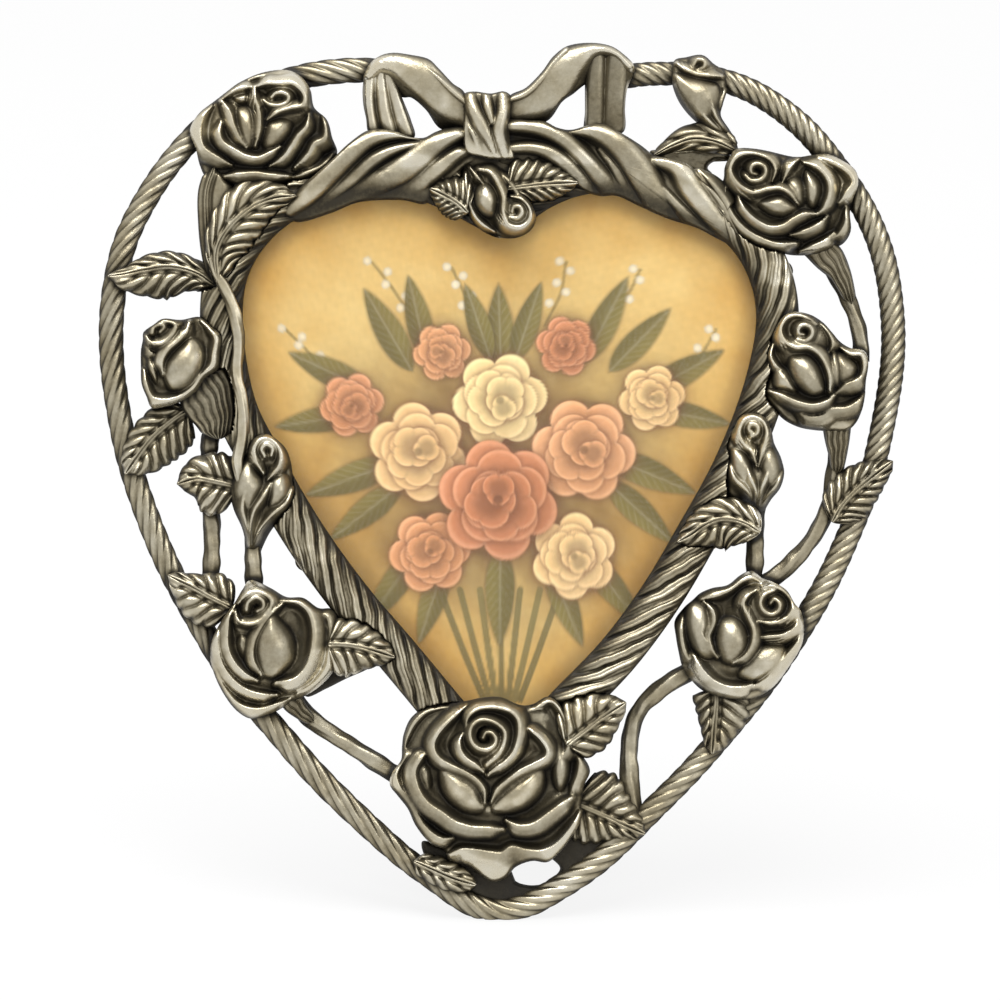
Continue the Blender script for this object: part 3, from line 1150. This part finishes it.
# Leaf sprays: x, y, length and direction of each leaf
SPRAYS = points_of(
    "330,372,46,2.7 318,420,44,3.3 388,330,48,2.1 418,318,44,1.8 500,338,54,1.6 478,322,40,1.9 "
    "528,322,42,1.25 606,320,48,1.1 640,340,44,0.8 684,372,46,0.5 690,416,42,-0.2 352,478,50,3.5 "
    "366,512,46,3.8 650,474,50,-0.4 640,512,46,-0.75 392,588,46,4.1 432,602,44,4.4 "
    "612,588,46,5.4 566,606,44,5.1 500,596,50,4.7")
# Thin sprigs with small pale buds: start, end
SPRIGS = points_of("420,340,372,262 470,330,452,268 545,325,566,262 600,330,640,270 "
                   "335,390,286,330 672,385,716,330")


def print_colours(p):
    """Golden card, darker at its edge and clouded, with a tinted bouquet: a brown shadow, stems
    and leaves first and then the blooms, each of five rounds of petals laid over each other."""
    golden, pale = np.array([0.76, 0.44, 0.10]), np.array([0.93, 0.71, 0.30])
    edge = nearest(p, smooth_line(WINDOW, 2.0, True))[0]
    cloud = wobble(p, 190, 21) * 0.5 + wobble(p, 70, 22) * 0.3
    share = np.clip(0.15 + ramp(edge, 0, 90) * 0.55 + 0.40 * cloud, 0, 1)[:, None]
    colour = golden * (1 - share) + pale * share
    colour = colour * (1 - 0.35 * (1 - ramp(edge, 2, 24)))[:, None]
    x, y = p[:, 0], p[:, 1]

    def lay(tone, mask):
        """Lays a tone over the colours where the mask is 1."""
        nonlocal colour
        mask = np.clip(mask, 0, 1)[:, None]
        colour = colour * (1 - mask) + np.array(tone) * mask

    dusk = np.exp(-(((x - 500) / 190) ** 2 + ((y - 478) / 160) ** 2) ** 1.4)
    lay((0.15, 0.075, 0.022), 0.78 * (dusk * (1 + 0.25 * wobble(p, 60, 41))))
    for k in range(7):
        start, end = np.array([440 + 20 * k, 590.0]), np.array([484 + 6 * k, 700.0])
        away = nearest(p, smooth_line([start, (start + end) / 2 + (3 - k, 10), end], 2.0))[0]
        stem_tone = np.array([0.20, 0.17, 0.06]) * (0.8 + 0.12 * (k % 3))
        lay(stem_tone, 0.85 * ramp(3.4 - away, -0.6, 0.8))
    for x0, y0, x1, y1 in SPRIGS:
        line = smooth_line([(x0, y0), ((x0 + x1) / 2 + 5, (y0 + y1) / 2), (x1, y1)], 2.0)
        lay((0.30, 0.22, 0.08), 0.8 * ramp(1.6 - nearest(p, line)[0], -0.8, 0.8))
        for k in range(5):
            at = line[int((0.35 + 0.16 * k) * (len(line) - 1))]
            spot = at + np.array([6.0 if k % 2 else -6.0, -3.0])
            gap = np.hypot(x - spot[0], y - spot[1])
            bud_tone = np.array([0.96, 0.84, 0.60]) * np.clip(1.1 - gap / 12, 0.6, 1)[:, None]
            lay(bud_tone, ramp(4.6 - gap, -0.7, 0.9))
    for x0, y0, size, turn in SPRAYS:
        along = ((x - x0) * cos(turn) - (y - y0) * sin(turn)) / size
        side = ((x - x0) * sin(turn) + (y - y0) * cos(turn)) / size
        off = np.abs(side)
        half = 0.27 * np.clip(1 - along ** 2, 0, 1) ** 0.75 * (1.1 - 0.3 * along)
        ribs = np.exp(-(np.sin(pi * (along * 5 - off * 7)) / 0.35) ** 2)
        vein = np.exp(-(side * size / 1.2) ** 2) + 0.5 * ribs * (off > 0.03)
        tone = np.array([0.20, 0.165, 0.045]) * (0.75 + 0.45 * ramp(side, -0.2, 0.2))[:, None]
        lay((0.07, 0.045, 0.02), 0.45 * ramp(half + 0.06 - off, 0, 0.08) * (np.abs(along) < 1.03))
        lay(tone + 0.10 * vein[:, None], 0.92 * (ramp(half - off, 0, 0.035) * (np.abs(along) < 1)))
    for x0, y0, size, tint, turn in sorted(BLOOMS, key=lambda bloom: bloom[2]):
        tint = np.array(tint)
        dx, dy = x - x0, y - y0
        away = np.hypot(dx, dy)
        near = away < size * 1.5
        lay((0.10, 0.045, 0.02), 0.55 * np.exp(-np.maximum(away - size, 0) / 6) * near)
        for layer, (share, count, lobe) in enumerate(ROUNDS):
            spin, shift = turn + 1.9 * layer, 0.05 * size * layer
            ax, ay = dx + shift * cos(spin), dy + shift * sin(spin)
            away = np.hypot(ax, ay)
            lobes = np.abs(np.cos(0.5 * count * (np.arctan2(ay, ax) - spin)))
            rim = size * share * (1 - lobe + lobe * 1.6 * lobes ** 0.7)
            inside = away / np.maximum(rim, 1e-6)
            crease = np.exp(-(lobes / 0.22) ** 2)
            light = (0.50 + 0.42 * ramp(inside, 0.35, 0.95) - 0.22 * crease * ramp(inside, 0.3, 1)
                     + 0.10 * (-dx - dy) / size)
            fringe = 0.13 * np.exp(-((inside - 0.95) / 0.05) ** 2)
            tone = tint * light[:, None] * 1.25 + fringe[:, None] * np.array([1.0, 0.85, 0.6])
            shadow = np.exp(-np.maximum(away - rim, 0) / (0.06 * size))
            lay((0.20, 0.07, 0.035), 0.5 * shadow * near)
            lay(tone, ramp(rim - away, -0.5, 1.8))
        lay(tint * 0.35, 0.8 * ramp(0.09 * size - np.hypot(dx, dy), -1.5, 1.5))
    return np.clip(colour * (1 + 0.05 * wobble(p, 8, 31))[:, None], 0.01, 0.97)


def card(name, beyond, back, front):
    """Flat sheet that ends beyond the window: rings grow from its middle to its rim on the
    front, and shrink again on the back."""
    line = smooth_line(WINDOW, 2.4, True)
    rim = line + normals_out(line, 3) * beyond
    middle = np.array([500.0, 430.0])
    sides = []
    for share, height in ((np.linspace(0, 1, 136)[1:], front), (np.array([1.0, 0.5]), back)):
        flat = middle + (rim - middle)[None] * share[:, None, None]
        sides.append(np.dstack([flat, np.full(flat.shape[:2], height)]))
    return Skin(name, np.concatenate(sides))


paper = card("picture_sheet", 14.8, 2.1, 2.295)
picture = put_mesh(paper.name, stand(paper.points), paper.quads, paper.triangles)
give(picture, "print", print_colours(paper.points[:, :2]))
s = new_shader("tinted_print")
fibre = s.noise(5200, 4, 0.7)
blotch = s.ramp(s.noise(190, 4, 0.6), (0.3, 0.88, 0.82, 0.72), (0.7, 1.0))
aged = s.mix(1.0, s.attribute("print", "Color"), blotch, "MULTIPLY")
picture.data.materials.append(s.finish(s.principled(
    base_color=s.mix(0.10 * fibre, aged, (0.30, 0.18, 0.08, 1)), roughness=0.48 + 0.14 * fibre,
    specular=0.12, normal=s.bump(fibre, 0.00002, 0.5))))
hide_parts("picture_print")


# Finishes of the nodes that stay

def glass():
    """Clear glass with a breath of dust."""
    s = new_shader("clear_glass")
    dust = s.noise(900, 3, 0.6)
    return s.finish(s.principled(base_color=(0.5, 0.52, 0.51, 1), roughness=0.04 + 0.06 * dust,
                                 alpha=0.015 + 0.03 * dust, ior=1.5))


def velvet():
    """Short black pile: tufts as fine cells, brushed in soft patches."""
    s = new_shader("black_velvet")
    tufts = s.add("ShaderNodeTexVoronoi", {}, {"Vector": s.place(), "Scale": 5200.0})
    brushed = s.noise(120, 4, 0.6)
    return s.finish(s.principled(
        base_color=s.ramp(brushed, (0.3, 0.006, 0.006, 0.008), (0.7, 0.022, 0.020, 0.024)),
        roughness=0.85 + 0.1 * tufts, sheen_weight=0.55, sheen_roughness=0.35,
        normal=s.bump(tufts + brushed * 2, 0.00012, 0.6)))


def fibrous(name, noise, dark, pale, rough, bump):
    """Board or card of dark and pale fibres."""
    s = new_shader(name)
    fibre = s.noise(*noise)
    return s.finish(s.principled(base_color=s.ramp(fibre, (0.3, *dark), (0.7, *pale)),
                                 roughness=rough + 0.1 * fibre, normal=s.bump(fibre, *bump)))


def brass():
    """Plated brass gone dull: brown spots and fine rolled scratches."""
    s = new_shader("dull_brass")
    where = s.add("ShaderNodeMapping", {}, {"Vector": s.place(), "Scale": (700, 9000, 700)})
    scratch = s.noise(1.0, 3, 0.5, where)
    spots = s.noise(900, 5, 0.65)
    return s.finish(s.principled(
        base_color=s.ramp(spots, (0.30, 0.16, 0.10, 0.045), (0.45, 0.52, 0.36, 0.13),
                          (0.7, 0.72, 0.53, 0.22)),
        metallic=0.95, roughness=s.ramp(spots, (0.3, 0.6), (0.6, 0.32)),
        normal=s.bump(scratch + spots * 0.5, 0.00003, 0.35)))


FINISHES = [
    (glass(), "glass_pane"),
    (velvet(), "velvet_lining easel_strut"),
    (fibrous("pressed_board", (1700, 6, 0.75), (0.22, 0.165, 0.11), (0.42, 0.34, 0.25), 0.85,
             (0.00008, 0.6)), "back_board"),
    (fibrous("cream_card", (2600, 5, 0.7), (0.62, 0.56, 0.44), (0.76, 0.71, 0.60), 0.8,
             (0.00004, 0.5)), "filler_card"),
    (brass(), "hinge_leaf_fixed hinge_leaf_moving hinge_pin board_rivets strut_rivets "
              "button_rivets turn_button_1 turn_button_2 turn_button_3 turn_button_4"),
]
for material, names in FINISHES:
    for name in names.split():
        node = bpy.data.objects[name]
        node.data.materials.clear()
        node.data.materials.append(material)


# Floor, light and camera

bpy.ops.mesh.primitive_plane_add(size=6.0, location=(0, 0, 0))
floor = bpy.context.object
floor.name = "pale_floor"
s = new_shader("pale_floor")
matt = s.principled(base_color=s.ramp(s.noise(6, 2, 0.5), (0.3, 0.80), (0.7, 0.84)), roughness=0.7)
glow = s.add("ShaderNodeEmission", {}, {"Color": (1, 1, 1, 1), "Strength": 1.0})
camera_ray, glossy_ray, through_ray = s.rays()
seen = (camera_ray + glossy_ray + through_ray).clamp() * 0.86
floor.data.materials.append(s.finish(s.add("ShaderNodeMixShader", {}, {0: seen, 1: matt, 2: glow})))

world = bpy.context.scene.world or bpy.data.worlds.new("plain_light")
bpy.context.scene.world = world
s = Shader(world)
camera_ray, glossy_ray, through_ray = s.rays()
seen = camera_ray.most(through_ray).most(glossy_ray)
light_level, seen_level = 0.45, 1.0
strength = s.add("ShaderNodeMix", {}, {0: seen, 2: light_level, 3: seen_level})
sky = s.add("ShaderNodeBackground", {}, {"Color": (1, 1, 1, 1), "Strength": strength})
s.finish(sky, "ShaderNodeOutputWorld")


def lamp(name, place, target, size, power):
    """Soft rectangular lamp that points at its target."""
    data = bpy.data.lights.new(name, "AREA")
    data.shape = "RECTANGLE"
    data.size, data.size_y = size
    data.energy = power
    thing = bpy.data.objects.new(name, data)
    bpy.context.scene.collection.objects.link(thing)
    thing.location = place
    thing.rotation_euler = (Vector(target) - Vector(place)).to_track_quat("-Z", "Y").to_euler()


middle = tuple(stand(np.array([500.0, 500.0, 3.0])))
lamp("top_light", (-0.12, -0.16, 0.75), middle, (0.9, 0.45), 8.0)
lamp("side_light", (0.7, -0.6, 0.4), middle, (0.4, 0.4), 0.9)

SENSOR, VIEW_WIDTH, DISTANCE = 36, 0.098, 1.5    # millimetres, and metres at the casting
camera_data = bpy.data.cameras.new("photo_camera")
camera_data.sensor_width = SENSOR
camera_data.lens = SENSOR * DISTANCE / VIEW_WIDTH
camera = bpy.data.objects.new("photo_camera", camera_data)
bpy.context.scene.collection.objects.link(camera)
camera.location = Vector(middle) - Vector((0, cos(LEAN), -sin(LEAN))) * DISTANCE
camera.rotation_euler = (radians(90) - LEAN, 0, 0)
bpy.context.scene.camera = camera
bpy.context.scene.view_settings.view_transform = "Standard"
